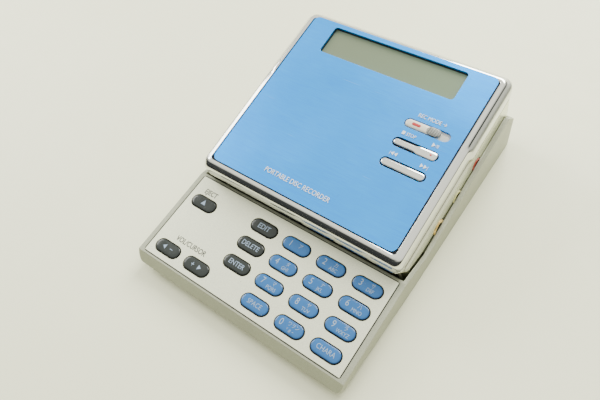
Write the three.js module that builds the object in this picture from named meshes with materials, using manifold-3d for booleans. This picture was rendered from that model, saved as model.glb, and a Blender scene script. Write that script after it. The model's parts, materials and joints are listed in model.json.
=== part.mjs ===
// Portable mini-disc recorder on a keypad base, built as the separate pieces it is made of.
// Millimetres, +X to the right, +Y to the back (the display side), +Z up.
// The origin is on the table, in the middle of the base.
//
// Three frames are used. The base is drawn flat on the table. The recorder rests on the
// sloping top of the base, so its pieces are drawn level in the "recorder" group. The key
// deck has a slope of its own, so its pieces are drawn level in the "deck" group. Both
// groups have their origin on the line where the key deck ends and the recorder begins.

import * as THREE from 'three';
import { mergeVertices } from 'three/addons/utils/BufferGeometryUtils.js';
import Module from 'manifold-3d';

const wasm = await Module();
wasm.setup();

// ---------------------------------------------------------------- driving dimensions

const BASE_WIDTH = 81.4;
const BASE_LENGTH = 108.8;
const RECORDER_TILT = THREE.MathUtils.degToRad(11);
const DECK_TILT = THREE.MathUtils.degToRad(5.5);
const DECK_LINE_Y = -18.9;
const DECK_LINE_Z = 10.7;

const DECK_WIDTH = 78;
const DECK_DEPTH = 32.8;
const DECK_EDGE_Y = -33.4;
const KEY_PITCH_X = 13;
const KEY_PITCH_Y = 7.37;
const KEY_HOLE = { length: 10.5, width: 5 };
const KEY_GAP = 0.25;

const LID_WIDTH = 78;
const LID_FRONT = 0.7;
const LID_DEPTH = 72;
const LID_TOP = 8.4;
const LID_BOTTOM = 2.2;
const PLATE_WIDTH = 70;
const PLATE_FRONT = 4.6;
const PLATE_DEPTH = 65.4;
const PLATE_THICKNESS = 0.8;
const DISPLAY = { width: 51, depth: 11.3, y: 62.65, radius: 1.2 };
const CONTROL = { x: 23.6, length: 15.6, width: 3.5, recordY: 44.3, stopY: 36.8, skipY: 29.1 };

const CASE_TOP = 1.9;
const CASE_BOTTOM = -10.1;
const CASE_FRONT = 1.1;
const CASE_BACK = 71.4;
const CASE_WALL = 0.8;
const JACK_Z = -4.9;
const JACK = { barrel: 2.1, bore: 1.8, back: 27, sunk: 0.15, collarDepth: 0.8 };
const JACKS = [
  { name: 'jack_phones', y: 21.9, collar: 2.9, color: 0xc9a44a },
  { name: 'jack_line', y: 33.7, collar: 2.3, color: 0xd8cf8a },
  { name: 'jack_mic', y: 46.5, collar: 2.3, color: 0x8e2a22 },
];

const DISC = { width: 72, depth: 68, thickness: 5 };
const HINGE = { y: 72.1, z: 0.5, bore: 0.45, pin: 0.35, knuckle: 0.6 };
const LID_MIDDLE = LID_FRONT + LID_DEPTH / 2;
const SPINDLE_Y = LID_MIDDLE;
const LEAD_SCREW_Y = SPINDLE_Y + 14;
const GUIDE_ROD_Y = SPINDLE_Y - 12;
const SLED_Z = -5;
const LEAD_SCREW_PITCH = 3;

const CLEARANCE = 0.3;
const CORNER_STEPS = 5;

// ---------------------------------------------------------------- finishes

function finish(color, roughness, metalness) {
  return new THREE.MeshStandardMaterial({ color, roughness, metalness });
}

const silverPaint = () => finish(0xc9cac4, 0.42, 0.35);
const chrome = () => finish(0xd9dadb, 0.08, 1);
const blueAluminium = () => finish(0x5fa6e6, 0.32, 0.85);
const steel = () => finish(0x9da0a3, 0.35, 0.95);
const darkRubber = () => finish(0x1b1c1e, 0.8, 0);
const greyKey = () => finish(0x3c3f42, 0.4, 0);
const blueKey = () => finish(0x2f62b4, 0.15, 0);
const circuitBoard = () => finish(0x1f5b3a, 0.6, 0.1);

// ---------------------------------------------------------------- solids and frames

const recorder = new THREE.Group();
recorder.position.set(0, DECK_LINE_Y, DECK_LINE_Z);
recorder.rotation.x = RECORDER_TILT;
recorder.updateMatrix();

const deck = new THREE.Group();
deck.position.set(0, DECK_LINE_Y, DECK_LINE_Z);
deck.rotation.x = DECK_TILT;
deck.updateMatrix();

const group = new THREE.Group();
group.add(recorder, deck);

function piece(name, geometry, material, parent = group) {
  const mesh = new THREE.Mesh(geometry, material);
  mesh.name = name;
  parent.add(mesh);
  return mesh;
}

function toSolid(geometry) {
  const bare = geometry.clone();
  bare.deleteAttribute('normal');
  bare.deleteAttribute('uv');
  const merged = mergeVertices(bare, 1e-4);
  const mesh = new wasm.Mesh({
    numProp: 3,
    vertProperties: new Float32Array(merged.attributes.position.array),
    triVerts: new Uint32Array(merged.index.array),
  });
  mesh.merge();
  return new wasm.Manifold(mesh);
}

function toGeometry(solid) {
  const mesh = solid.getMesh();
  const geometry = new THREE.BufferGeometry();
  geometry.setAttribute('position', new THREE.BufferAttribute(mesh.vertProperties, 3));
  geometry.setIndex(new THREE.BufferAttribute(mesh.triVerts, 1));
  geometry.computeVertexNormals();
  return geometry;
}

function cut(geometry, ...tools) {
  let solid = toSolid(geometry);
  for (const tool of tools) solid = solid.subtract(toSolid(tool));
  return toGeometry(solid);
}

function join(geometry, ...others) {
  let solid = toSolid(geometry);
  for (const other of others) solid = solid.add(toSolid(other));
  return toGeometry(solid);
}

function common(geometry, other) {
  return toGeometry(toSolid(geometry).intersect(toSolid(other)));
}

// ---------------------------------------------------------------- shape builders

// A box given by its limits on each axis.
function box([x0, x1], [y0, y1], [z0, z1]) {
  const geometry = new THREE.BoxGeometry(x1 - x0, y1 - y0, z1 - z0);
  geometry.translate((x0 + x1) / 2, (y0 + y1) / 2, (z0 + z1) / 2);
  return geometry;
}

// A round bar along X, Y or Z, from one place to another on that axis.
function bar(axis, radius, from, to, [a, b], sides = 20) {
  const geometry = new THREE.CylinderGeometry(radius, radius, to - from, sides);
  const middle = (from + to) / 2;
  if (axis === 'x') geometry.rotateZ(Math.PI / 2).translate(middle, a, b);
  if (axis === 'y') geometry.translate(a, middle, b);
  if (axis === 'z') geometry.rotateX(Math.PI / 2).translate(a, b, middle);
  return geometry;
}

// The corner points of a rounded rectangle, anticlockwise seen from above.
function roundedRing(width, depth, radius, x = 0, y = 0, steps = CORNER_STEPS) {
  const points = [];
  const corners = [[1, -1, -90], [1, 1, 0], [-1, 1, 90], [-1, -1, 180]];
  for (const [sideX, sideY, start] of corners) {
    for (let step = 0; step <= steps; step++) {
      const angle = THREE.MathUtils.degToRad(start + 90 * step / steps);
      points.push(new THREE.Vector2(
        x + sideX * (width / 2 - radius) + radius * Math.cos(angle),
        y + sideY * (depth / 2 - radius) + radius * Math.sin(angle),
      ));
    }
  }
  return points;
}

// A long slot outline with half-round ends, along X.
function slotRing(length, width, x = 0, y = 0, steps = CORNER_STEPS) {
  const points = [];
  for (const side of [1, -1]) {
    for (let step = 0; step <= 2 * steps; step++) {
      const angle = THREE.MathUtils.degToRad(-90 * side + 180 * step / (2 * steps));
      points.push(new THREE.Vector2(
        x + side * (length - width) / 2 + width / 2 * Math.cos(angle),
        y + width / 2 * Math.sin(angle),
      ));
    }
  }
  return points;
}

// A flat plate of any outline, with holes, between two heights.
function plate(ring, [z0, z1], holes = []) {
  const shape = new THREE.Shape(ring);
  for (const hole of holes) shape.holes.push(new THREE.Path(hole));
  const geometry = new THREE.ExtrudeGeometry(shape, { depth: z1 - z0, bevelEnabled: false });
  geometry.translate(0, 0, z0);
  return geometry;
}

// A block whose outline changes with height: levels are [height, ring], bottom first.
function loft(levels) {
  const count = levels[0][1].length;
  const positions = [];
  for (const [z, ring] of levels) {
    for (const point of ring) positions.push(point.x, point.y, z);
  }
  const index = [];
  for (let level = 0; level + 1 < levels.length; level++) {
    for (let i = 0; i < count; i++) {
      const a = level * count + i;
      const b = level * count + (i + 1) % count;
      index.push(a, b, a + count, b, b + count, a + count);
    }
  }
  const top = (levels.length - 1) * count;
  for (let i = 1; i + 1 < count; i++) {
    index.push(0, i + 1, i);
    index.push(top, top + i, top + i + 1);
  }
  const geometry = new THREE.BufferGeometry();
  geometry.setAttribute('position', new THREE.Float32BufferAttribute(positions, 3));
  geometry.setIndex(index);
  geometry.computeVertexNormals();
  return geometry;
}

// A side view given as [y, z] points, anticlockwise seen from +X, drawn out along X.
function sideProfile(points, [x0, x1]) {
  const shape = new THREE.Shape(points.map(([y, z]) => new THREE.Vector2(y, z)));
  const geometry = new THREE.ExtrudeGeometry(shape, { depth: x1 - x0, bevelEnabled: false });
  const turn = new THREE.Matrix4().makeBasis(
    new THREE.Vector3(0, 1, 0), new THREE.Vector3(0, 0, 1), new THREE.Vector3(1, 0, 0));
  geometry.applyMatrix4(turn);
  geometry.translate(x0, 0, 0);
  return geometry;
}

// A front view given as [x, z] points, anticlockwise seen from the front, drawn out along Y.
function frontProfile(points, [y0, y1]) {
  const shape = new THREE.Shape(points.map(([x, z]) => new THREE.Vector2(x, z)));
  const geometry = new THREE.ExtrudeGeometry(shape, { depth: y1 - y0, bevelEnabled: false });
  geometry.rotateX(Math.PI / 2);
  geometry.translate(0, y1, 0);
  return geometry;
}

function inFrame(frame, geometry) {
  return geometry.clone().applyMatrix4(frame.matrix);
}

// Where a point of the recorder's or the deck's middle plane lies, as [y, z] on the table.
function onTable(frame, y, z) {
  const point = new THREE.Vector3(0, y, z).applyMatrix4(frame.matrix);
  return [point.y, point.z];
}

// ---------------------------------------------------------------- keypad base

const BASE_CORNER = 2.2;
const BASE_BEND_Y = -12.7;
const FRONT_EDGE_Z = 3.4;
const RIM_Z = -5.1;
const RIM_FRONT_Y = 12.2;
const RIM_BACK_Y = 66.3;
const BACK_WALL_TOP = 11.6;
const BAY_FLOOR_Z = -10.5;
const CAVITY_ROOF_Z = -11.7;
const BAY_WALL = 1.3;
const COVER = { halfWidth: 37.4, front: 2, back: 51.5, thickness: 1.2, corner: 2 };
const COVER_SCREWS = [[-33, 7], [33, 7], [-33, 26.2], [33, 26.2]];
const BATTERY = { length: 67, width: 17, thickness: 6.1, front: 49, top: -12 };
const DOOR = { front: 48.2, back: 67.6, bottom: -18.8, top: -11.3, thickness: 1.2 };

function baseOutline() {
  const back = BASE_LENGTH / 2;
  return [
    [-back, FRONT_EDGE_Z],
    [BASE_BEND_Y, 0],
    [back, 0],
    [back, BACK_WALL_TOP],
    onTable(recorder, RIM_BACK_Y, RIM_Z),
    onTable(recorder, RIM_FRONT_Y, RIM_Z),
    onTable(deck, 0, 0),
    onTable(deck, DECK_EDGE_Y, 0),
  ];
}

function batteryCavity() {
  const half = COVER.halfWidth - 1.8;
  const bottom = COVER.thickness + CLEARANCE;
  const front = COVER.front + 1.8;
  const back = COVER.back - 1.2;
  const roofAt = (y) => DECK_LINE_Z + CAVITY_ROOF_Z * Math.cos(RECORDER_TILT)
    + (y - DECK_LINE_Y + CAVITY_ROOF_Z * Math.sin(RECORDER_TILT)) * Math.tan(RECORDER_TILT);
  const wedge = sideProfile(
    [[front, bottom], [back, bottom], [back, roofAt(back)], [front, roofAt(front)]],
    [-half, half]);
  const bosses = COVER_SCREWS.map(([x, y]) => {
    const side = Math.sign(x);
    const limits = [side * 30.2, side * 40].sort((a, b) => a - b);
    return box(limits, [y - 2.8, y + 2.8], [-1, 20]);
  });
  return cut(wedge, ...bosses);
}

function baseShell() {
  const half = BASE_WIDTH / 2;
  const outer = common(
    sideProfile(baseOutline(), [-half, half]),
    plate(roundedRing(BASE_WIDTH, BASE_LENGTH, BASE_CORNER), [-5, 40]));
  const bay = box([-(half - BAY_WALL), half - BAY_WALL], [0.8, 95], [BAY_FLOOR_Z, 40]);
  const deckSeat = plate(
    roundedRing(DECK_WIDTH, DECK_DEPTH, 1, 0, -DECK_DEPTH / 2), [-1.3, 10]);
  const keyPocket = box([-37.6, 37.6], [-31.4, -1.6], [-3.4, 5]);
  const coverSeat = plate(roundedRing(
    2 * (COVER.halfWidth + CLEARANCE), COVER.back - COVER.front + 2 * CLEARANCE,
    COVER.corner + CLEARANCE, 0, (COVER.front + COVER.back) / 2), [-2, COVER.thickness + CLEARANCE]);
  const batteryMouth = box([-50, -34], [48.7, 66.3], [-18.4, CAVITY_ROOF_Z]);
  const doorSeat = box([-50, -39], [47.9, 67.95], [-19.1, -11]);
  const screwHoles = COVER_SCREWS.map(([x, y]) => bar('z', 1.1, -1, 5.2, [x, y], 12));
  return cut(
    outer,
    inFrame(recorder, bay),
    inFrame(deck, deckSeat),
    inFrame(deck, keyPocket),
    coverSeat,
    batteryCavity(),
    inFrame(recorder, batteryMouth),
    inFrame(recorder, doorSeat),
    ...screwHoles);
}

function bottomCover() {
  const ring = roundedRing(
    2 * COVER.halfWidth, COVER.back - COVER.front, COVER.corner, 0,
    (COVER.front + COVER.back) / 2);
  const blank = plate(ring, [0, COVER.thickness]);
  const tools = [];
  for (const [x, y] of COVER_SCREWS) {
    tools.push(bar('z', 1.3, -1, 3, [x, y], 14));
    tools.push(bar('z', 2.1, -1, 0.75, [x, y], 14));
  }
  return cut(blank, ...tools);
}

// A cover screw: countersunk pan head with a cross slot, and a plain shank.
function coverScrew(x, y) {
  const profile = [[0, 0.1], [1.8, 0.1], [1.8, 0.6], [0.9, 0.9], [0.9, 4.6], [0, 5]];
  const screw = new THREE.LatheGeometry(profile.map(([r, z]) => new THREE.Vector2(r, z)), 14);
  screw.rotateX(Math.PI / 2);
  const slots = [box([-1.2, 1.2], [-0.2, 0.2], [-1, 0.4]), box([-0.2, 0.2], [-1.2, 1.2], [-1, 0.4])];
  return cut(screw, ...slots).translate(x, y, 0);
}

function batteryDoor() {
  const outside = -BASE_WIDTH / 2;
  const limits = [outside, outside + DOOR.thickness];
  const panel = box(limits, [DOOR.front, DOOR.back], [DOOR.bottom, DOOR.top]);
  const nailNotch = box([outside - 1, outside + 0.5], [50, 51], [-16.8, -13.3]);
  return cut(panel, nailNotch);
}

piece('base_shell', baseShell(), silverPaint());
piece('bottom_cover', bottomCover(), silverPaint());
COVER_SCREWS.forEach(([x, y], i) => piece(`cover_screw_${i + 1}`, coverScrew(x, y), steel()));

piece('battery_cell', plate(
  roundedRing(BATTERY.length, BATTERY.width, 1, 0, BATTERY.front + BATTERY.width / 2),
  [BATTERY.top - BATTERY.thickness, BATTERY.top]), finish(0x3f7f78, 0.5, 0), recorder);
piece('battery_door', batteryDoor(), silverPaint(), recorder);

// ---------------------------------------------------------------- key deck and keys

const DECK_PLATE_BOTTOM = -1;
const KEY_TOP = 0.3;
const KEY_FLANGE = { bottom: -1.9, top: -1.5, extra: 0.8 };
const NUMBER_KEYS_X = 5.45;
const NUMBER_KEYS_Y = -6.15;

const keyPlaces = [
  { name: 'eject', x: -31.7, y: -9.1 },
  { name: 'volume_down', x: -31.5, y: -28.3 },
  { name: 'volume_up', x: -18.8, y: -28.3 },
];
['edit', 'delete', 'enter'].forEach((name, row) => {
  keyPlaces.push({ name, x: NUMBER_KEYS_X - KEY_PITCH_X, y: NUMBER_KEYS_Y - row * KEY_PITCH_Y });
});
const numberRows = [['1', '2', '3'], ['4', '5', '6'], ['7', '8', '9'], ['space', '0', 'chara']];
numberRows.forEach((names, row) => names.forEach((name, column) => {
  const x = NUMBER_KEYS_X + column * KEY_PITCH_X;
  const y = NUMBER_KEYS_Y - row * KEY_PITCH_Y;
  keyPlaces.push({ name, x, y, blue: true });
}));

function keypadDeck() {
  const edge = 0.2;
  const ring = roundedRing(
    DECK_WIDTH - 2 * edge, DECK_DEPTH - 2 * edge, 0.8, 0, -DECK_DEPTH / 2);
  const holes = keyPlaces.map(({ x, y }) => slotRing(KEY_HOLE.length, KEY_HOLE.width, x, y));
  return plate(ring, [DECK_PLATE_BOTTOM, 0], holes);
}

// One key: a flange that holds it under the deck, a straight stem and a softly domed top.
function key({ x, y }) {
  const length = KEY_HOLE.length - 2 * KEY_GAP;
  const width = KEY_HOLE.width - 2 * KEY_GAP;
  const ring = (grow) => slotRing(length + grow, width + grow, x, y, 4);
  return loft([
    [KEY_FLANGE.bottom, ring(KEY_FLANGE.extra)],
    [KEY_FLANGE.top, ring(KEY_FLANGE.extra)],
    [KEY_FLANGE.top + 0.02, ring(0)],
    [KEY_TOP - 0.4, ring(0)],
    [KEY_TOP, ring(-0.9)],
  ]);
}

piece('keypad_deck', keypadDeck(), silverPaint(), deck);
piece('keypad_mat', box([-36.2, 36.2], [-30.6, -2], [-2.65, -2.4]), darkRubber(), deck);
piece('keypad_board', box([-36.2, 36.2], [-30.6, -2], [-3.2, -2.85]), circuitBoard(), deck);
for (const place of keyPlaces) {
  piece(`key_${place.name}`, key(place), place.blue ? blueKey() : greyKey(), deck);
}

// ---------------------------------------------------------------- recorder case and hinge

const CASE_DEPTH = CASE_BACK - CASE_FRONT;
const CASE_MIDDLE = (CASE_BACK + CASE_FRONT) / 2;
const CASE_HALF = LID_WIDTH / 2;
const CASE_FLOOR = 1;

// A hinge knuckle: a round eye on the hinge line with a root that joins it to its wall.
function knuckle([x0, x1], rootPoints) {
  const eye = bar('x', HINGE.knuckle, x0, x1, [HINGE.y, HINGE.z], 16);
  return join(eye, sideProfile(rootPoints, [x0, x1]));
}

function recorderCase() {
  const outer = loft([
    [CASE_BOTTOM, roundedRing(LID_WIDTH - 1, CASE_DEPTH - 1, 3, 0, CASE_MIDDLE)],
    [CASE_BOTTOM + 0.6, roundedRing(LID_WIDTH, CASE_DEPTH, 3.5, 0, CASE_MIDDLE)],
    [CASE_TOP, roundedRing(LID_WIDTH, CASE_DEPTH, 3.5, 0, CASE_MIDDLE)],
  ]);
  const inner = plate(
    roundedRing(LID_WIDTH - 2.2, CASE_DEPTH - 2 * CASE_WALL, 1.6, 0, CASE_MIDDLE),
    [CASE_BOTTOM + CASE_FLOOR, 10]);
  const low = HINGE.z - HINGE.knuckle;
  const high = HINGE.z + HINGE.knuckle;
  const root = [[CASE_BACK - 0.4, low], [HINGE.y, low], [HINGE.y, high], [CASE_BACK - 0.4, high]];
  const knuckles = [knuckle([-33, -27.4], root), knuckle([27.4, 33], root)];
  const jackHoles = JACKS.map(({ y, collar }) =>
    bar('x', collar + CLEARANCE, CASE_HALF - 3, CASE_HALF + 2, [y, JACK_Z], 24));
  const pinHole = bar('x', HINGE.bore, -50, 50, [HINGE.y, HINGE.z], 12);
  return cut(join(cut(outer, inner), ...knuckles), ...jackHoles, pinHole);
}

// A jack: a barrel with a 3.5 mm bore, its coloured collar showing in the case's side.
function jack({ y, collar }) {
  const face = CASE_HALF - JACK.sunk;
  const barrel = bar('x', JACK.barrel, JACK.back, face, [y, JACK_Z], 24);
  const ring = bar('x', collar, face - JACK.collarDepth, face, [y, JACK_Z], 24);
  const bore = bar('x', JACK.bore, JACK.back + 2, CASE_HALF + 2, [y, JACK_Z], 16);
  return cut(join(barrel, ring), bore);
}

piece('recorder_case', recorderCase(), chrome(), recorder);
for (const place of JACKS) {
  piece(place.name, jack(place), finish(place.color, 0.3, 0.7), recorder);
}
piece('hinge_pin', bar('x', HINGE.pin, -33.4, 33.4, [HINGE.y, HINGE.z], 10), steel(), recorder);

// ---------------------------------------------------------------- disc drive inside the case

const CHASSIS_TOP = -1.6;
const CHASSIS_BOTTOM = -2.4;
const SLED = { near: -9.5, far: -22.5, bottom: -6.6, top: -3.2 };

function chassisPlate() {
  const ring = roundedRing(73, 66, 2, 0, CASE_MIDDLE);
  const windows = [
    roundedRing(21.2, 21.2, 10.5, 0, SPINDLE_Y),
    roundedRing(24.1, 10, 2, -24, SPINDLE_Y),
    roundedRing(18, 10, 2, 22, SPINDLE_Y + 22),
    roundedRing(18, 10, 2, 22, SPINDLE_Y - 22),
    roundedRing(10, 7, 1.5, -30, 12),
  ];
  return plate(ring, [CHASSIS_BOTTOM, CHASSIS_TOP], windows);
}

function mainBoard() {
  const ring = roundedRing(73.5, 66, 2, 0, CASE_MIDDLE);
  const holes = [roundedRing(23, 23, 11.4, 0, SPINDLE_Y)];
  return plate(ring, [-8.7, -8.1], holes);
}

// The turntable: a shaft, a wide flange, and the magnetic hub that the disc sits on.
function turntable() {
  const profile = [
    [0, -3.9], [0.75, -3.9], [0.75, -2.4], [9, -2.4], [9, -1.7],
    [4.6, -1.4], [4.6, -0.4], [3.9, 0.1], [1.2, 0.1], [1.2, 0.9], [0, 1.2],
  ];
  const hub = new THREE.LatheGeometry(profile.map(([r, z]) => new THREE.Vector2(r, z)), 28);
  return hub.rotateX(Math.PI / 2).translate(0, SPINDLE_Y, 0);
}

function opticalPickup() {
  const carriage = box(
    [SLED.far, SLED.near], [GUIDE_ROD_Y - 2.2, LEAD_SCREW_Y + 2.2], [SLED.bottom, SLED.top]);
  const turret = plate(
    roundedRing(7, 8, 1.5, (SLED.near + SLED.far) / 2, SPINDLE_Y), [SLED.top - 0.5, -1.3]);
  const lens = bar('z', 2, -2, -0.9, [(SLED.near + SLED.far) / 2, SPINDLE_Y], 20);
  const rodHole = bar('x', 1.1, -60, 60, [GUIDE_ROD_Y, SLED_Z], 14);
  const screwHole = bar('x', 1.25, -60, 60, [LEAD_SCREW_Y, SLED_Z], 14);
  return cut(join(carriage, turret, lens), rodHole, screwHole);
}

// The lead screw: a bar whose thread is drawn as a row of shallow collars.
function leadScrew() {
  const length = 29.6;
  const profile = [[0, 0], [0.7, 0]];
  for (let start = 1; start + LEAD_SCREW_PITCH < length; start += LEAD_SCREW_PITCH) {
    profile.push([0.7, start], [0.95, start + 0.8], [0.95, start + 1.6], [0.7, start + 2.4]);
  }
  profile.push([0.7, length], [0, length]);
  const screw = new THREE.LatheGeometry(profile.map(([r, z]) => new THREE.Vector2(r, z)), 10);
  return screw.rotateZ(-Math.PI / 2).translate(-35.6, LEAD_SCREW_Y, SLED_Z);
}

function sledMotor() {
  const can = bar('x', 2.2, -3.6, 9, [LEAD_SCREW_Y, SLED_Z], 20);
  return join(can, bar('x', 0.5, -5.4, -3.4, [LEAD_SCREW_Y, SLED_Z], 10));
}

// The catch that holds the lid down, worked by the eject key.
function lidCatch() {
  const slider = box([-36.6, -28], [9.6, 14.2], [-3.5, -2.8]);
  const window = box([-33.5, -30.5], [11, 12.8], [-4, -2]);
  return cut(slider, window);
}

piece('chassis_plate', chassisPlate(), steel(), recorder);
piece('main_board', mainBoard(), circuitBoard(), recorder);
piece('spindle_motor', bar('z', 8.8, -7.8, -4.2, [0, SPINDLE_Y], 28), steel(), recorder);
piece('turntable', turntable(), steel(), recorder);
piece('optical_pickup', opticalPickup(), finish(0x2a2c30, 0.5, 0.2), recorder);
piece('guide_rod', bar('x', 0.8, -36.4, -7, [GUIDE_ROD_Y, SLED_Z], 12), steel(), recorder);
piece('lead_screw', leadScrew(), steel(), recorder);
piece('sled_motor', sledMotor(), steel(), recorder);
piece('lid_catch', lidCatch(), steel(), recorder);

// ---------------------------------------------------------------- disc holder

const HOLDER = { sheet: 0.35, bottom: -0.6, top: 5.35, front: 2.1, back: 70.1, lip: 2.4 };

// The holder: a stamped channel that the disc cartridge slides into from the front.
function discHolder() {
  const half = DISC.width / 2 + 0.5 + HOLDER.sheet;
  const { sheet, bottom, top, lip } = HOLDER;
  const channel = [
    [-half, bottom], [-half + lip, bottom], [-half + lip, bottom + sheet],
    [-half + sheet, bottom + sheet], [-half + sheet, top - sheet], [half - sheet, top - sheet],
    [half - sheet, bottom + sheet], [half - lip, bottom + sheet], [half - lip, bottom],
    [half, bottom], [half, top], [-half, top],
  ];
  const body = frontProfile(channel, [HOLDER.front, HOLDER.back]);
  const backStop = box([-half, half], [HOLDER.back - sheet, HOLDER.back], [2, top]);
  const windows = [
    box([-34, -8], [SPINDLE_Y - 4.6, SPINDLE_Y + 4.6], [3, 8]),
    plate(roundedRing(26, 14, 3, 18, 16), [3, 8]),
    plate(roundedRing(30, 9, 3, 0, 60), [3, 8]),
  ];
  const plan = plate(roundedRing(
    2 * half, 2 * (HOLDER.back - CASE_MIDDLE), 2.2, 0, CASE_MIDDLE), [bottom - 1, top + 1]);
  return common(cut(join(body, backStop), ...windows), plan);
}

// The recording head: a leaf arm with a small shoe that reaches down through the window.
function recordHead() {
  const middle = (SLED.near + SLED.far) / 2;
  const arm = box([middle - 6.5, middle + 3.5], [SPINDLE_Y - 2, SPINDLE_Y + 12], [5.7, 6.05]);
  const shoe = box([middle - 2.5, middle + 2.5], [SPINDLE_Y - 2, SPINDLE_Y + 2], [5.15, 6]);
  return join(arm, shoe);
}

piece('disc_holder', discHolder(), steel(), recorder);
piece('record_head', recordHead(), steel(), recorder);

// ---------------------------------------------------------------- lid

const WEB = { bottom: 6.65, top: 7.3 };
const LID_WALL = 1.2;

function lidRing(inset, radius) {
  return roundedRing(LID_WIDTH - 2 * inset, LID_DEPTH - 2 * inset, radius, 0, LID_MIDDLE);
}

// The lid frame: a chromed shell with sloping sides, a web that carries the display and
// the controls, two hinge knuckles, and a tongue that the catch holds.
function lidFrame() {
  const outer = loft([
    [LID_BOTTOM, lidRing(0, 3.6)],
    [4.8, lidRing(0, 3.6)],
    [6.4, lidRing(0.7, 3.3)],
    [7.9, lidRing(2, 2.6)],
    [LID_TOP, lidRing(3, 2)],
  ]);
  const inner = loft([
    [0, lidRing(LID_WALL, 2.6)],
    [4.8, lidRing(LID_WALL, 2.6)],
    [WEB.bottom, lidRing(2.2, 2)],
  ]);
  const plateSeat = plate(roundedRing(
    PLATE_WIDTH + 0.6, PLATE_DEPTH + 0.6, 2.3, 0, PLATE_FRONT + PLATE_DEPTH / 2), [WEB.top, 20]);
  const displayHole = plate(
    roundedRing(DISPLAY.width + 3, DISPLAY.depth + 3, 1.2, 0, DISPLAY.y), [0, 20]);
  const stemHoles = [
    box([CONTROL.x - 6.2, CONTROL.x + 2.8], [CONTROL.recordY - 1, CONTROL.recordY + 1], [0, 20]),
    box([CONTROL.x - 1.4, CONTROL.x + 1.4], [CONTROL.stopY - 1.3, CONTROL.stopY + 1.3], [0, 20]),
    box([CONTROL.x - 1.4, CONTROL.x + 1.4], [CONTROL.skipY - 1.3, CONTROL.skipY + 1.3], [0, 20]),
  ];
  const root = [
    [HINGE.y - HINGE.knuckle, HINGE.z], [HINGE.y + HINGE.knuckle, HINGE.z],
    [HINGE.y + HINGE.knuckle, LID_BOTTOM + 0.5], [HINGE.y - HINGE.knuckle, LID_BOTTOM + 0.5],
  ];
  const knuckles = [knuckle([-27, -21.5], root), knuckle([21.5, 27], root)];
  const tongue = box([-37.75, -37.2], [9.9, 13.9], [-4.2, 5]);
  const tongueRoot = box([-38.3, -37.2], [9.9, 13.9], [LID_BOTTOM + 0.2, 5]);
  const catchWindow = box([-39, -36], [10.6, 13.2], [-3.7, -2.6]);
  const pinHole = bar('x', HINGE.bore, -50, 50, [HINGE.y, HINGE.z], 12);
  const shell = cut(outer, inner, plateSeat, displayHole, ...stemHoles);
  return cut(join(shell, ...knuckles, tongue, tongueRoot), catchWindow, pinHole);
}

function lidPlate() {
  const ring = roundedRing(PLATE_WIDTH, PLATE_DEPTH, 2, 0, PLATE_FRONT + PLATE_DEPTH / 2);
  const holes = [roundedRing(DISPLAY.width, DISPLAY.depth, DISPLAY.radius, 0, DISPLAY.y)];
  for (const y of [CONTROL.recordY, CONTROL.stopY, CONTROL.skipY]) {
    holes.push(slotRing(CONTROL.length, CONTROL.width, CONTROL.x, y));
  }
  return plate(ring, [LID_TOP - PLATE_THICKNESS, LID_TOP], holes);
}

// The record slide: a long knob with a ribbed grip, on a stem that works the switch below.
function recordSlide() {
  const left = CONTROL.x - CONTROL.length / 2 + 0.35;
  const length = 12;
  const knob = plate(slotRing(length, 2.8, left + length / 2, CONTROL.recordY), [7.7, 8.6]);
  const stem = box([CONTROL.x - 4, CONTROL.x - 1], [CONTROL.recordY - 0.6, CONTROL.recordY + 0.6],
    [6.2, 8]);
  const ribs = [];
  for (let rib = 0; rib < 4; rib++) {
    const x = left + 7.4 + rib * 1;
    ribs.push(box([x, x + 0.5], [CONTROL.recordY - 1.1, CONTROL.recordY + 1.1], [8.4, 8.85]));
  }
  return join(knob, stem, ...ribs);
}

// The stop and play rocker: a narrow left end and a broad right end on one bar.
function stopPlayRocker() {
  const narrow = plate(slotRing(14.8, 2.2, CONTROL.x, CONTROL.stopY), [7.75, 8.75]);
  const broad = plate(slotRing(8, 3, CONTROL.x + 3.4, CONTROL.stopY), [7.75, 8.8]);
  const pivot = box([CONTROL.x - 0.6, CONTROL.x + 0.6], [CONTROL.stopY - 0.9, CONTROL.stopY + 0.9],
    [6.3, 8]);
  return join(narrow, broad, pivot);
}

function skipRocker() {
  const lever = plate(slotRing(14.8, 2.6, CONTROL.x, CONTROL.skipY), [7.75, 8.75]);
  const pivot = box([CONTROL.x - 0.6, CONTROL.x + 0.6], [CONTROL.skipY - 0.9, CONTROL.skipY + 0.9],
    [6.3, 8]);
  return join(lever, pivot);
}

piece('lid_frame', lidFrame(), chrome(), recorder);
piece('lid_plate', lidPlate(), blueAluminium(), recorder);
piece('display_window', plate(
  roundedRing(DISPLAY.width + 2, DISPLAY.depth + 2, 1, 0, DISPLAY.y), [6.85, 7.25]),
finish(0x9aa49a, 0.1, 0), recorder);
piece('display_module', plate(
  roundedRing(DISPLAY.width + 2, DISPLAY.depth + 2, 1, 0, DISPLAY.y), [5.85, 6.6]),
finish(0x707a70, 0.5, 0), recorder);
piece('control_board', box([14, 33], [26, 47], [5.6, 6]), circuitBoard(), recorder);
piece('record_slide', recordSlide(), finish(0xe8e4d8, 0.35, 0), recorder);
piece('stop_play_rocker', stopPlayRocker(), chrome(), recorder);
piece('skip_rocker', skipRocker(), chrome(), recorder);

export default group;
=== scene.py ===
"""A flip-lid disc recorder with a keypad base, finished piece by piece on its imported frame."""
import json
import math

import bmesh
import bpy
import numpy as np
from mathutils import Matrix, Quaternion, Vector


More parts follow.
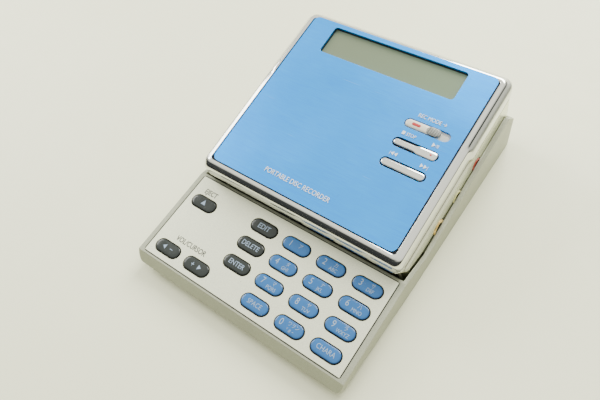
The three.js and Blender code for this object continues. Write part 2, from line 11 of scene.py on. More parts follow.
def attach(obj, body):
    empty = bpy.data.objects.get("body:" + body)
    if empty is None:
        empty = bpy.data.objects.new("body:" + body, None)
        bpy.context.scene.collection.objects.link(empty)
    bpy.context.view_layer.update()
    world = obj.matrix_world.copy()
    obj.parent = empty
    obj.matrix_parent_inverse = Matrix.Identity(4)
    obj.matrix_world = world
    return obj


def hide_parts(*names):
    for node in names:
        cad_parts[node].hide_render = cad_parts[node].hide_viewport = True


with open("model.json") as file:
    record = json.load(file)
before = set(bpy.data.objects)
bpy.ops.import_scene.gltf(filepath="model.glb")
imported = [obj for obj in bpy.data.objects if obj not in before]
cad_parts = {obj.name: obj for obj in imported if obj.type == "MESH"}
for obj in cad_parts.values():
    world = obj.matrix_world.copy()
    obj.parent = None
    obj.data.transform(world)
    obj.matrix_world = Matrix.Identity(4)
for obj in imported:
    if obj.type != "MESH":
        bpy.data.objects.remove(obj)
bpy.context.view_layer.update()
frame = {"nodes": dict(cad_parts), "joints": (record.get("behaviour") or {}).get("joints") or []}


# ------------------------------------------------------------------ camera
# A hand-held close view from the right of the front edge, tipped a little, with a
# moderately wide lens. Lengths in this script are millimetres until a mesh is placed.

MILLIMETRE = 0.001
CAMERA_SPOT = (74.4, -83.6, 160.2)
CAMERA_TARGET = (-3.1, -11.0, 12.0)
CAMERA_ROLL = math.radians(-13.3)
CAMERA_LENS = 33.53
CAMERA_SENSOR = 36

camera_data = bpy.data.cameras.new("camera")
camera_data.lens = CAMERA_LENS
camera_data.sensor_width = CAMERA_SENSOR
camera = bpy.data.objects.new("camera", camera_data)
aim = Vector(CAMERA_TARGET) - Vector(CAMERA_SPOT)
camera.location = Vector(CAMERA_SPOT) * MILLIMETRE
camera.rotation_mode = "QUATERNION"
camera.rotation_quaternion = aim.to_track_quat("-Z", "Y") @ Quaternion((0, 0, 1), CAMERA_ROLL)
bpy.context.scene.collection.objects.link(camera)
bpy.context.scene.camera = camera


# ------------------------------------------------------------------ table, room and lamps
# The recorder lies on a cream laminate table top, faintly mottled and dusty, in a pale
# room. A dim band at eye height gives the chrome its dark lines.

TABLE_HALF = 900


def tint(red, green, blue):
    """A linear colour from screen values of 0 to 255, by the usual power curve."""
    return tuple((value / 255) ** 2.2 for value in (red, green, blue)) + (1.0,)


class Shade:
    """A socket in a node tree. Arithmetic on it adds Math nodes, and node() adds any other node."""

    def __init__(self, tree, socket=None):
        self.tree = tree
        self.socket = socket

    def node(self, kind, settings=None, inputs=None, output=0, stops=()):
        """Adds a node of this kind with its settings, a ramp's stops and its sockets, and gives one
        output. A stop is a position and a colour, and the first two stops are the ramp's ends."""
        made = self.tree.nodes.new("ShaderNode" + kind)
        for name, value in (settings or {}).items():
            setattr(made, name, value)
        for number, (position, color) in enumerate(stops):
            ends = made.color_ramp.elements
            stop = ends[number] if number < len(ends) else ends.new(position)
            stop.position = position
            stop.color = color
        for name, value in (inputs or {}).items():
            if isinstance(value, Shade):
                self.tree.links.new(value.socket, made.inputs[name])
            else:
                made.inputs[name].default_value = value
        return Shade(self.tree, made.outputs[output])

    def math(self, operation, first, second=0.0):
        """A Math node on one or two values."""
        return self.node("Math", {"operation": operation}, {0: first, 1: second})

    def __add__(self, other):
        return self.math("ADD", self, other)

    def __sub__(self, other):
        return self.math("SUBTRACT", self, other)

    def __rsub__(self, other):
        return self.math("SUBTRACT", other, self)

    def __mul__(self, other):
        return self.math("MULTIPLY", self, other)

    __radd__ = __add__
    __rmul__ = __mul__

    def place(self):
        """Object coordinates, in metres."""
        return self.node("TexCoord", output="Object")

    def local(self, axis):
        """One of the piece's own coordinates, in millimetres."""
        whole = self.node("Attribute", {"attribute_name": "local"}, output="Vector")
        return self.node("SeparateXYZ", None, {0: whole}, output=axis)

    def noise(self, size, detail=3.0, stretch=(1, 1, 1)):
        """Cloudy noise from 0 to 1 whose blotches are about size millimetres across."""
        spot = self.node("Mapping", None, {"Vector": self.place(), "Scale": stretch})
        per_metre = 1 / (size * MILLIMETRE)
        inputs = {"Vector": spot, "Scale": per_metre, "Detail": detail}
        return self.node("TexNoise", None, inputs)

    def step(self, value, low, high, start=0.0, end=1.0):
        """Smoothly from start to end as value goes from low to high."""
        inputs = {"Value": value, "From Min": low, "From Max": high, "To Min": start, "To Max": end}
        return self.node("MapRange", {"interpolation_type": "SMOOTHSTEP"}, inputs)

    def mix(self, share, first, second):
        """A colour from first to second as share goes from 0 to 1."""
        return self.node("Mix", {"data_type": "RGBA"}, {0: share, 6: first, 7: second}, output=2)

    def bump(self, height, depth, strength=1.0):
        """A normal from a height of 0 to 1 that stands for depth in millimetres."""
        inputs = {"Height": height, "Distance": depth * MILLIMETRE, "Strength": strength}
        return self.node("Bump", None, inputs)


def finish(name, constants, recipe):
    """A material: constants set on the Principled shader, and recipe's sockets linked to it."""
    material = bpy.data.materials.new(name)
    material.use_nodes = True
    tree = material.node_tree
    shader = tree.nodes["Principled BSDF"]
    for socket, value in constants.items():
        shader.inputs[socket].default_value = value
    for socket, value in recipe(Shade(tree)).items():
        tree.links.new(value.socket, shader.inputs[socket])
    return material


def laminate(shade):
    """Cream with a slow mottle, specks where two noises meet, and a little unevenness."""
    cloud = shade.noise(60, 4)
    speck = shade.step(shade.noise(2.2, 2), 0.76, 0.8)
    cream = shade.mix(cloud, tint(240, 241, 208), tint(246, 247, 218))
    dusty = shade.mix(speck * shade.step(shade.noise(35), 0.5, 0.7), cream, tint(196, 192, 166))
    roughness = 0.42 + shade.noise(8) * 0.2
    return {"Base Color": dusty, "Roughness": roughness, "Normal": shade.bump(cloud, 0.05)}


def flat_sheet(name, half):
    """A square sheet on the table plane: a 2 by 2 grid of corners at plus and minus half."""
    corner = np.array([[-half, -half, 0], [half, -half, 0], [half, half, 0], [-half, half, 0]])
    mesh = bpy.data.meshes.new(name)
    mesh.from_pydata((corner * MILLIMETRE).tolist(), [], [(0, 1, 2, 3)])
    sheet = bpy.data.objects.new(name, mesh)
    bpy.context.scene.collection.objects.link(sheet)
    return sheet


table = flat_sheet("table_top", TABLE_HALF)
table.data.materials.append(finish("table_laminate", {"Specular IOR Level": 0.3}, laminate))


def softbox(name, spot, width, height, watts, color):
    """A rectangular lamp that faces the middle of the table."""
    light = bpy.data.lights.new(name, "AREA")
    light.shape = "RECTANGLE"
    light.size = width * MILLIMETRE
    light.size_y = height * MILLIMETRE
    light.energy = watts
    light.color = color
    lamp = bpy.data.objects.new(name, light)
    lamp.location = Vector(spot) * MILLIMETRE
    lamp.rotation_euler = (-Vector(spot)).to_track_quat("-Z", "Y").to_euler()
    bpy.context.scene.collection.objects.link(lamp)


softbox("ceiling_softbox", spot=(20, 560, 470), width=420, height=380, watts=9.0,
        color=(1.0, 1.0, 0.94))
softbox("window_softbox", spot=(-560, 60, 330), width=300, height=300, watts=3.0,
        color=(1.0, 1.0, 0.95))

ROOM_STRENGTH = 1.6
BRIGHTER_BEHIND = 0.15
DIMMER_AT_RIGHT = 0.1


def room_light():
    """A pale room: grey near the horizon with a dim band at eye height, and bright overhead. The
    level in the ramp is half the upward part of the direction plus a half, shifted sideways."""
    world = bpy.data.worlds.new("room")
    world.use_nodes = True
    shade = Shade(world.node_tree)
    direction = shade.node("TexCoord", output="Generated")
    right, back, up = [shade.node("SeparateXYZ", None, {0: direction}, output=axis)
                       for axis in "XYZ"]
    level = up * 0.5 + back * BRIGHTER_BEHIND - right * DIMMER_AT_RIGHT + 0.5
    stops = [(0.0, tint(60, 60, 56)), (1.0, tint(255, 255, 242)), (0.5, tint(48, 50, 50)),
             (0.6, tint(62, 64, 64)), (0.72, tint(226, 226, 214))]
    color = shade.node("ValToRGB", None, {"Fac": level}, stops=stops)
    background = world.node_tree.nodes["Background"]
    world.node_tree.links.new(color.socket, background.inputs["Color"])
    background.inputs["Strength"].default_value = ROOM_STRENGTH
    bpy.context.scene.world = world


room_light()


# ------------------------------------------------------------------ base shell
# The lower housing is one moulding of silver-painted ABS with a bay for the recorder. Its
# long edges are rounded by the mould, and the paint carries a very fine metallic grain. Its copy
# of the silver paint is much darker than the deck's, as painted shade for the sides and front.

def joint(name):
    """One joint of the frame, by its name."""
    return next(each for each in frame["joints"] if each["name"] == name)


def local_frame(origin, normal):
    """A frame in metres: x across the object, z along normal, y to the back between them."""
    up = Vector(normal).normalized()
    across = Vector((1, 0, 0))
    return {"origin": np.array(origin), "axes": np.array([across, up.cross(across), up])}


# Both frames start where the recorder's front meets the deck. RECORDER is square to the
# spindle, and DECK is square to the way a key is pressed.
SPINDLE_BACK = 36.7
spin = joint("turntable_spin")
spin_back = Vector(spin["axis"]).cross(Vector((1, 0, 0)))
front_line = np.array(Vector(spin["pos_m"]) - spin_back * SPINDLE_BACK * MILLIMETRE)
RECORDER = local_frame(front_line, spin["axis"])
DECK = local_frame(front_line, [-part for part in joint("key_eject_press")["axis"]])


def put(points, where):
    """Local millimetres to metres in the row frame: origin + x, y, z along the frame's axes."""
    return where["origin"] + np.asarray(points, float) @ where["axes"] * MILLIMETRE


def own(points, where):
    """The inverse of put: metres in the row frame to local millimetres."""
    return (np.asarray(points, float) - where["origin"]) @ where["axes"].T / MILLIMETRE


def new_piece(name, mesh, where, body, material):
    """Makes the object, stores its local coordinates, and ties it to its CAD body and slot."""
    points = np.empty(len(mesh.vertices) * 3)
    mesh.vertices.foreach_get("co", points)
    local = mesh.attributes.new("local", "FLOAT_VECTOR", "POINT")
    local.data.foreach_set("vector", own(points.reshape(-1, 3), where).ravel())
    for each in material if isinstance(material, list) else [material]:
        mesh.materials.append(each)
    thing = bpy.data.objects.new(name, mesh)
    bpy.context.scene.collection.objects.link(thing)
    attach(thing, body)
    return thing


MERGE_DISTANCE = 0.002
FLAT_TURN = math.radians(0.4)
SHARP_TURN = math.radians(28)
WEAK_SHARE = 0.25
BEVEL_STEPS = 3
FACE_WEIGHT = 100


def softened(node, where, body, material, radius, strong=None, edge_slot=0):
    """A merged copy of a CAD node with rounded edges. Every sharp edge is rounded to radius. With
    strong given, only edges whose middle it accepts are, and the others to a quarter of it."""
    mesh = frame["nodes"][node].data.copy()
    mesh.materials.clear()
    work = bmesh.new()
    work.from_mesh(mesh)
    bmesh.ops.remove_doubles(work, verts=work.verts, dist=MERGE_DISTANCE * MILLIMETRE)
    bmesh.ops.dissolve_limit(work, angle_limit=FLAT_TURN, verts=work.verts, edges=work.edges)
    weight = work.edges.layers.float.new("bevel_weight_edge")
    for edge in work.edges:
        if len(edge.link_faces) == 2 and edge.calc_face_angle(0) > SHARP_TURN:
            middle = (edge.verts[0].co + edge.verts[1].co) / 2
            whole = strong is None or strong(middle / MILLIMETRE)
            edge[weight] = 1.0 if whole else WEAK_SHARE
    work.to_mesh(mesh)
    work.free()
    mesh.shade_smooth()
    thing = new_piece(node + "_finished", mesh, where, body, material)
    bevel = thing.modifiers.new("rounded edges", "BEVEL")
    bevel.limit_method = "WEIGHT"
    bevel.width = radius * MILLIMETRE
    bevel.segments = BEVEL_STEPS
    bevel.material = edge_slot
    evened = thing.modifiers.new("flat faces", "WEIGHTED_NORMAL")
    evened.weight = FACE_WEIGHT
    evened.keep_sharp = False
    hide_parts(node)
    return thing


def silver_paint(light, dark):
    """Silver paint: a fine metallic grain from dark to light, a dull bloom and a few specks."""
    def recipe(shade):
        grain = shade.noise(0.22, 2)
        cloud = shade.noise(14, 4)
        speck = shade.step(shade.noise(1.1, 2), 0.77, 0.81)
        paint = shade.mix(shade.step(grain, 0.3, 0.7), dark, light)
        worn = shade.mix(cloud * 0.25, paint, tint(176, 176, 160))
        dirty = shade.mix(speck * 0.7, worn, tint(110, 108, 96))
        roughness = shade.step(cloud, 0.2, 0.8, 0.36, 0.5)
        return {"Base Color": dirty, "Roughness": roughness,
                "Normal": shade.bump(grain, 0.012, 0.6)}
    return recipe


# Painted shade: this copy of the silver paint is much darker than the deck's, so that the housing's
# sides and front read shaded.
shaded_shell_paint = finish("silver_shell_paint", {"Metallic": 0.35, "Coat Weight": 0.15},
                     silver_paint(tint(158, 161, 141), tint(138, 141, 123)))

BASE_SIDE = 40.0
BASE_ENDS = 53.5


def outer_edge(middle):
    """True for an edge on the outside of the housing, from its middle in millimetres."""
    return abs(middle.x) > BASE_SIDE or abs(middle.y) > BASE_ENDS


softened("base_shell", RECORDER, "base", shaded_shell_paint, 0.55, outer_edge)


# ------------------------------------------------------------------ bay lips
# A thin lip in the same paint stands in from each long rim of the bay towards the recorder's
# side, and narrows the gap that dust could fall through.

RIM_Z = -5.1
RIM_SPAN = (12.6, 66.0)
LIP_X = (39.06, 39.5)
LIP_DEPTH = 0.55
LIP_SINK = 0.03
LIP_CUT = 0.12


def skin(name, stacks, where, closed=False):
    """One mesh from stacks of rows: neighbouring rows are joined by four-sided faces, and the
    first and last rows are capped, or joined to each other where closed is true. Rows go up
    the outside and inward over the top, so that faces point outwards."""
    points, faces, start = [], [], 0
    for rows in stacks:
        count, around = rows.shape[:2]
        index = start + np.arange(count * around).reshape(count, around)
        lower = index if closed else index[:-1]
        upper = np.roll(index, -1, 0) if closed else index[1:]
        quads = np.stack([lower, np.roll(lower, -1, 1), np.roll(upper, -1, 1), upper], -1)
        faces += quads.reshape(-1, 4).tolist()
        if not closed:
            faces += [index[0][::-1].tolist(), index[-1].tolist()]
        points.append(put(rows.reshape(-1, 3), where))
        start += count * around
    mesh = bpy.data.meshes.new(name)
    mesh.from_pydata(np.vstack(points).tolist(), [], faces)
    mesh.shade_smooth()
    return mesh


def lip_rows(side):
    """A bar along y: a rectangle in x and z with its upper inner corner cut off."""
    x_in, x_out = LIP_X
    bottom = RIM_Z - LIP_DEPTH
    top = RIM_Z - LIP_SINK
    ring = np.array([[x_in, bottom], [x_out, bottom], [x_out, top], [x_in + LIP_CUT, top],
                     [x_in, top - LIP_CUT]])
    ends = [np.column_stack([side * ring[:, 0], np.full(len(ring), y), ring[:, 1]])
            for y in RIM_SPAN[::-side]]
    return np.stack(ends)


for name, side in (("right", 1), ("left", -1)):
    lip = skin(f"bay_lip_{name}", [lip_rows(side)], RECORDER)
    new_piece(f"bay_lip_{name}", lip, RECORDER, "base", shaded_shell_paint)


# ------------------------------------------------------------------ bottom cover, door, battery
# The cover is a second moulding in the same paint, held by four cross-head steel screws.
# The flat cell slides in from the left and a painted door on a hinge closes its bay.

softened("bottom_cover", RECORDER, "base", shaded_shell_paint, 0.3)
softened("battery_door", RECORDER, "battery_door", shaded_shell_paint, 0.25)


def turned_steel(shade):
    """Bright steel with tool marks close together along z, and slow stains."""
    ring = shade.noise(0.5, 2, (1, 1, 6))
    stain = shade.noise(5, 3)
    metal = shade.mix(stain, tint(176, 178, 178), tint(206, 206, 202))
    return {"Base Color": metal, "Roughness": shade.step(ring, 0.3, 0.7, 0.24, 0.42),
            "Normal": shade.bump(ring, 0.01, 0.5)}


def printed_wrap(shade):
    """Dark blue film with broad bands of a second blue along the cell."""
    band = shade.step(shade.noise(9, 1, (1, 6, 6)), 0.45, 0.55)
    film = shade.mix(band, tint(52, 66, 92), tint(70, 84, 108))
    return {"Base Color": film, "Roughness": 0.25 + shade.noise(4) * 0.2}


steel = finish("stamped_steel_bright", {"Metallic": 1.0}, turned_steel)
cell_film = finish("battery_film", {"Coat Weight": 0.3}, printed_wrap)


def keep(node, material):
    """Gives a CAD node that stays as it is its finish."""
    frame["nodes"][node].data.materials.clear()
    frame["nodes"][node].data.materials.append(material)


for number in range(1, 5):
    keep(f"cover_screw_{number}", steel)
keep("battery_cell", cell_film)


# ------------------------------------------------------------------ keypad deck, mat and board
# The deck is a 1 mm silver-painted plate sunk level with the housing, punched with round-ended
# holes for the keys. Its paint is darkened along its edges, and a dark rubber strip fills the gap
# round it, both as painted shade for that gap. Under it lie the mat and the board.

DECK_SEAT_HALF = 38.98
DECK_SEAT_DEPTH = 32.78
EDGE_SHADE_WIDTH = 0.4
EDGE_SHADE_BLUR = 0.08


def edge_shaded_paint(shade):
    """Silver paint, darkened along the deck's four edges as painted shade for the gap round it."""
    sockets = silver_paint(tint(240, 243, 216), tint(216, 219, 195))(shade)
    across = shade.math("ABSOLUTE", shade.local("X")) - DECK_SEAT_HALF
    along = shade.math("ABSOLUTE", shade.local("Y") + DECK_SEAT_DEPTH / 2) - DECK_SEAT_DEPTH / 2
    outward = shade.math("MAXIMUM", across, along)
    # Painted shade: a dark band along the deck's edges, for the gap round the deck.
    edge_shade = shade.step(outward, -EDGE_SHADE_WIDTH, EDGE_SHADE_BLUR - EDGE_SHADE_WIDTH)
    sockets["Base Color"] = shade.mix(edge_shade, sockets["Base Color"], tint(48, 47, 42))
    return sockets


deck_paint = finish("silver_deck_paint", {"Metallic": 0.4, "Coat Weight": 0.1}, edge_shaded_paint)
softened("keypad_deck", DECK, "base", deck_paint, 0.1)


def soft_rubber(shade):
    """Dark rubber, greyer and duller where dust clouds it."""
    dust = shade.noise(6, 4)
    rubber = shade.mix(dust, tint(40, 41, 44), tint(62, 62, 62))
    return {"Base Color": rubber, "Roughness": 0.6 + dust * 0.25,
            "Normal": shade.bump(shade.noise(0.4), 0.02)}


def etched_board(shade):
    """Green solder mask over copper traces: bands of noise stretched along x and along y."""
    along = shade.step(shade.noise(1.1, 0, (0.15, 1, 1)), 0.5, 0.53)
    across = shade.step(shade.noise(1.3, 0, (1, 0.15, 1)), 0.52, 0.55)
    trace = shade.math("MAXIMUM", along, across)
    mask = shade.mix(trace, tint(24, 74, 48), tint(52, 118, 74))
    return {"Base Color": mask, "Roughness": 0.3 + shade.noise(3) * 0.2,
            "Normal": shade.bump(trace, 0.03)}


rubber = finish("keypad_rubber", {}, soft_rubber)
board = finish("board_mask", {"Coat Weight": 0.3}, etched_board)
keep("keypad_mat", rubber)
for node in ("keypad_board", "main_board", "control_board"):
    keep(node, board)


def round_outline(half, front, back, radius, corner_steps=8, side_steps=1):
    """Points anticlockwise round a rectangle with round corners: a quarter circle about the
    centre of each corner, and side_steps equal steps along each side between them."""
    quarter = np.linspace(0, math.pi / 2, corner_steps + 1)
    centres = [(half - radius, front + radius), (half - radius, back - radius),
               (radius - half, back - radius), (radius - half, front + radius)]
    arcs = []
    for number, (x, y) in enumerate(centres):
        turn = quarter + (number - 1) * math.pi / 2
        arcs.append(np.column_stack([x + radius * np.cos(turn), y + radius * np.sin(turn)]))
    share = np.linspace(0, 1, side_steps + 1)[1:-1, None]
    sides = [arc[-1] + (arcs[(number + 1) % 4][0] - arc[-1]) * share
             for number, arc in enumerate(arcs)]
    return np.vstack([part for pair in zip(arcs, sides) for part in pair])


def rows_of(outline_at, profile):
    """One row of points for each (inset, height) of a profile, round outline_at(inset)."""
    rings = [(outline_at(inset), height) for inset, height in profile]
    return np.stack([np.column_stack([ring, np.full(len(ring), height)])
                     for ring, height in rings])


SEAT_CORNER = 0.98
# Painted shade: a dark rubber strip fills the gap between the deck and its seat, so that the gap
# reads dark.
GAP_SHADE_WIDTH = 0.17
GAP_SHADE_TOP = -0.2
GAP_SHADE_BOTTOM = -0.9
gap_shade_rows = rows_of(
    lambda inset: round_outline(DECK_SEAT_HALF - inset, inset - DECK_SEAT_DEPTH, -inset,
                                SEAT_CORNER - inset),
    [(0.0, GAP_SHADE_BOTTOM), (0.0, GAP_SHADE_TOP), (GAP_SHADE_WIDTH, GAP_SHADE_TOP),
     (GAP_SHADE_WIDTH, GAP_SHADE_BOTTOM)])
gap_shade_strip = skin("deck_gap_shade_strip", [gap_shade_rows], DECK, closed=True)
new_piece("deck_gap_shade_strip", gap_shade_strip, DECK, "base", rubber)


# ------------------------------------------------------------------ keys
# Eighteen keys with round ends, moulded in clear smoked or blue resin. Their colour is painted dark
# round the rim and below the deck, as painted shade for the gap round each key, and lighter on the
# crown. Each sits on a flange under the deck.

KEY_LENGTH = 10.0
KEY_WIDTH = 4.5
# Rows of (inset, height), from the flange under the deck up the side and over the crown.
KEY_PROFILE = [(-0.4, -1.9), (-0.4, -1.5), (0.0, -1.48), (0.0, -0.2), (0.03, 0.02), (0.12, 0.18),
               (0.28, 0.3), (0.5, 0.37), (0.8, 0.42), (1.1, 0.445), (1.6, 0.455), (2.15, 0.46)]
NUMBER_X = 5.45
NUMBER_Y = -6.15
PITCH_X = 13.0
PITCH_Y = 7.37
NARROWEST = 0.02
# A little less than a half circle at each end, so that no two points fall together.
ALMOST_ROUND = 0.999
END_STEPS = 8


def slot_outline(x, y, length, width, inset=0.0, side_steps=1):
    """A shape with two round ends, length by width, drawn in by inset: half circles of half
    its width about the ends of its middle line."""
    half_width = max(width / 2 - inset, NARROWEST)
    half_length = length / 2 - width / 2 + half_width
    ring = round_outline(half_length, -half_width, half_width, half_width * ALMOST_ROUND,
                         END_STEPS, side_steps)
    return ring + np.array([x, y])


def resin(face, rim_shade):
    """Clear resin, painted dark below the deck and round the edge as painted shade, and lighter on
    the crown.
    """
    def recipe(shade):
        crown = shade.step(shade.local("Z"), 0.12, 0.42)
        cloud = shade.noise(3, 2)
        rim_shaded = shade.mix(crown, rim_shade, face)
        worn = shade.mix(cloud * 0.2, rim_shaded, rim_shade)
        dust = shade.step(shade.noise(0.7, 2), 0.74, 0.8)
        return {"Base Color": shade.mix(dust * 0.5, worn, tint(190, 196, 198)),
                "Roughness": shade.step(cloud, 0.3, 0.7, 0.16, 0.3),
                "Normal": shade.bump(shade.noise(0.5), 0.006, 0.4)}
    return recipe


RESIN_GLOSS = {"Coat Weight": 0.1, "Specular IOR Level": 0.35}
# Painted shade: the second colour darkens each key's rim and its part below the deck.
blue_resin = finish("key_blue_resin", RESIN_GLOSS, resin(tint(46, 104, 166), tint(8, 20, 44)))
grey_resin = finish("key_grey_resin", RESIN_GLOSS, resin(tint(44, 49, 48), tint(12, 14, 16)))


def faded_ink(shade):
    """Pale blue-grey print, worn in small patches."""
    wear = shade.noise(0.8, 3)
    return {"Base Color": shade.mix(wear * 0.5, tint(150, 168, 190), tint(110, 132, 160)),
            "Roughness": 0.4 + wear * 0.3}


def dark_ink(shade):
    """Near-black print, worn in small patches."""
    wear = shade.noise(0.8, 3)
    return {"Base Color": shade.mix(wear * 0.6, tint(22, 24, 24), tint(60, 62, 60)),
            "Roughness": 0.4 + wear * 0.3}


pale_ink = finish("pale_legend_ink", {}, faded_ink)
grey_ink = finish("grey_legend_ink", {}, dark_ink)


CROWN_ROWS = KEY_PROFILE[3:]
PRINT_LIFT = 0.02
FONT_STEPS = 3
FONT_MERGE = 0.0005


def crown_height(x, y, spot):
    """Height of a key's crown: its profile read at the distance in from its round outline."""
    along = np.maximum(np.abs(x - spot[0]) - (KEY_LENGTH - KEY_WIDTH) / 2, 0)
    inset = KEY_WIDTH / 2 - np.hypot(along, y - spot[1])
    edge, height = np.array(CROWN_ROWS).T
    return np.interp(inset, edge, height)


def text_points(words, size, stretch, thickness, weight):
    """Words as a closed solid: Blender's own font with strokes made bolder by weight, filled,
    extruded to twice thickness, made a mesh, and its width scaled by stretch."""
    curve = bpy.data.curves.new("words", "FONT")
    curve.body = words
    curve.size = size
    curve.align_x = "CENTER"
    curve.align_y = "CENTER"
    curve.resolution_u = FONT_STEPS
    curve.extrude = thickness
    curve.offset = weight
    written = bpy.data.objects.new("words", curve)
    bpy.context.scene.collection.objects.link(written)
    bpy.context.view_layer.update()
    filled = written.evaluated_get(bpy.context.evaluated_depsgraph_get())
    mesh = bpy.data.meshes.new_from_object(filled)
    bpy.data.objects.remove(written)
    work = bmesh.new()
    work.from_mesh(mesh)
    bmesh.ops.remove_doubles(work, verts=work.verts, dist=FONT_MERGE)
    work.to_mesh(mesh)
    work.free()
    points = np.empty(len(mesh.vertices) * 3)
    mesh.vertices.foreach_get("co", points)
    return mesh, points.reshape(-1, 3) * (stretch, 1, 1)


def legend(name, words, size, spot, surface, where, body, material,
           stretch=0.85, thickness=0.015, weight=0.0):
    """Printed or raised words centred on spot, whose height at x, y is surface(x, y)."""
    mesh, points = text_points(words, size, stretch, thickness, weight)
    points[:, :2] += spot
    points[:, 2] += surface(points[:, 0], points[:, 1])
    mesh.materials.clear()
    mesh.vertices.foreach_set("co", put(points, where).ravel())
    mesh.name = name
    return new_piece(name, mesh, where, body, material)


def key_row(names, x, y, step):
    """Names with their places, the first at x, y and each next one a step further."""
    return [(name, x + number * step[0], y + number * step[1])
            for number, name in enumerate(names)]


GREY_KEYS = [("eject", -31.7, -9.1), ("volume_down", -31.5, -28.3), ("volume_up", -18.8, -28.3)]
GREY_KEYS += key_row(("edit", "delete", "enter"), NUMBER_X - PITCH_X, NUMBER_Y, (0, -PITCH_Y))
BLUE_KEYS = []
for row, names in enumerate((("1", "2", "3"), ("4", "5", "6"), ("7", "8", "9"),
                             ("space", "0", "chara"))):
    BLUE_KEYS += key_row(names, NUMBER_X, NUMBER_Y - row * PITCH_Y, (PITCH_X, 0))

# Each key's words, with their size and how far right and up of the key's middle they stand.
KEY_WORDS = {
    "eject": [("▲", 2.4, 0, 0.1)],
    "volume_down": [("◀", 1.9, -1.4, 0), ("−", 2.8, 1.5, 0)],
    "volume_up": [("+", 2.8, -1.4, 0), ("▶", 1.9, 1.4, 0)],
    "edit": [("EDIT", 2.6, 0, 0)], "delete": [("DELETE", 2.4, 0, 0)],
    "enter": [("ENTER", 2.4, 0, 0)], "space": [("SPACE", 2.2, 0, 0)],
    "chara": [("CHARA", 2.2, 0, 0)],
    "1": [("1", 3.0, -2.1, 0), ("ア", 1.9, 1.4, 0.3)],
    "0": [("0", 3.0, -2.8, 0.1), ("ワヲン", 1.6, 1.2, 0.75), ("* # −", 1.5, 1.0, -0.95)],
}
SMALL_LETTERS = (("2", "カ", "ABC"), ("3", "サ", "DEF"), ("4", "タ", "GHI"), ("5", "ナ", "JKL"),
                 ("6", "ハ", "MNO"), ("7", "マ", "PQRS"), ("8", "ヤ", "TUV"), ("9", "ラ", "WXYZ"))
for digit, kana, letters in SMALL_LETTERS:
    KEY_WORDS[digit] = [(digit, 3.0, -2.3, 0.2), (kana, 1.7, 1.5, 0.8), (letters, 1.7, 1.3, -0.85)]


def make_key(name, x, y, material):
    """The cap over one CAD key, and the words printed on its crown."""
    body = "key_" + name
    rows = rows_of(lambda inset: slot_outline(x, y, KEY_LENGTH, KEY_WIDTH, inset), KEY_PROFILE)
    key = new_piece(body + "_cap", skin(body, [rows], DECK), DECK, body, material)
    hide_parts(body)

    def crown(across, along):
        return crown_height(across, along, (x, y)) + PRINT_LIFT

    for number, (words, size, right, up) in enumerate(KEY_WORDS[name]):
        legend(f"{body}_legend_{number}", words, size, (x + right, y + up), crown, DECK, body,
               pale_ink)


for name, x, y in GREY_KEYS:
    make_key(name, x, y, grey_resin)
for name, x, y in BLUE_KEYS:
    make_key(name, x, y, blue_resin)

DECK_WORDS = [("EJECT", 2.6, (-31.9, -4.9)), ("VOL/CURSOR", 2.6, (-25.2, -23.6))]
DECK_PRINT_HEIGHT = 0.012
for number, (words, size, spot) in enumerate(DECK_WORDS):
    legend(f"deck_legend_{number}", words, size, spot, lambda x, y: DECK_PRINT_HEIGHT, DECK,
           "base", grey_ink, stretch=0.8, weight=0.035)


# ------------------------------------------------------------------ recorder case, jacks and hinge
# The recorder's tub is drawn metal with a satin chrome plate, painted black along its front wall
# as painted shade for the gap above the keypad. Three 3.5 mm sockets open in its right wall, each
# in its own coloured collar, and a steel pin holds the lid at the back.

def plated(shade):
    """Chrome over polished metal: slow waves, fine wiping marks, and matte where masked."""
    matte = shade.node("Attribute", {"attribute_name": "matte"}, output="Fac")
    haze = shade.noise(9, 4)
    wipe = shade.noise(0.5, 3, (0.1, 1, 1))
    roughness = shade.step(haze, 0.3, 0.75, 0.05, 0.13) + wipe * 0.04 + matte * 0.26
    metal = shade.mix(matte * 0.6, tint(226, 226, 222), tint(208, 210, 200))
    return {"Base Color": metal, "Roughness": roughness,
            "Normal": shade.bump(shade.noise(5, 2), 0.01, 0.5)}


def satin_chrome_and_shaded_front(shade):
    """Satin chrome, with the front wall that faces the keypad painted black as painted shade."""
    haze = shade.noise(7, 4)
    # Painted shade: towards the front, y under 1.5 to 2.2, the wall is painted black and not
    # metallic.
    front = shade.step(shade.local("Y"), 1.5, 2.2)
    metal = shade.mix(haze, tint(216, 217, 190), tint(230, 231, 206))
    return {"Base Color": shade.mix(front, tint(14, 14, 14), metal), "Metallic": front,
            "Roughness": shade.step(haze, 0.2, 0.8, 0.16, 0.28)}


chrome = finish("bright_chrome", {"Metallic": 1.0}, plated)
satin = finish("satin_case_metal", {}, satin_chrome_and_shaded_front)
softened("recorder_case", RECORDER, "base", satin, 0.35)
keep("hinge_pin", steel)

JACK_X = 39.25
JACK_Z = -4.9
JACK_BORE = 1.75
JACK_BARREL = 2.1
JACK_BACK = 27.0
BORE_END = 29.0
COLLAR_DEPTH = 0.8
TURN_STEPS = 40
# Name, place, collar radius, slot, colour, colour painted inside the bore as painted shade, and how
# metallic.
JACKS = [("phones", 21.9, 2.9, "gold", (226, 190, 110), (20, 16, 10), 0.7),
         ("line", 33.7, 2.3, "yellow", (232, 228, 160), (150, 146, 96), 0.0),
         ("mic", 46.5, 2.3, "red", (178, 44, 32), (74, 14, 10), 0.0)]


def collar(y, color, bore_shade):
    """The collar's colour, going inside the bore, whose middle is at y, to a darker one as painted
    shade for the hole.
    """
    def recipe(shade):
        height = shade.local("Z") - JACK_Z
        side = shade.local("Y") - y
        radius = shade.math("SQRT", height * height + side * side)
        bore_shade_mask = shade.step(radius, JACK_BORE - 0.02, JACK_BORE + 0.12)
        cloud = shade.noise(1.5, 2)
        return {"Base Color": shade.mix(bore_shade_mask, bore_shade, color),
                "Roughness": 0.22 + cloud * 0.15}
    return recipe


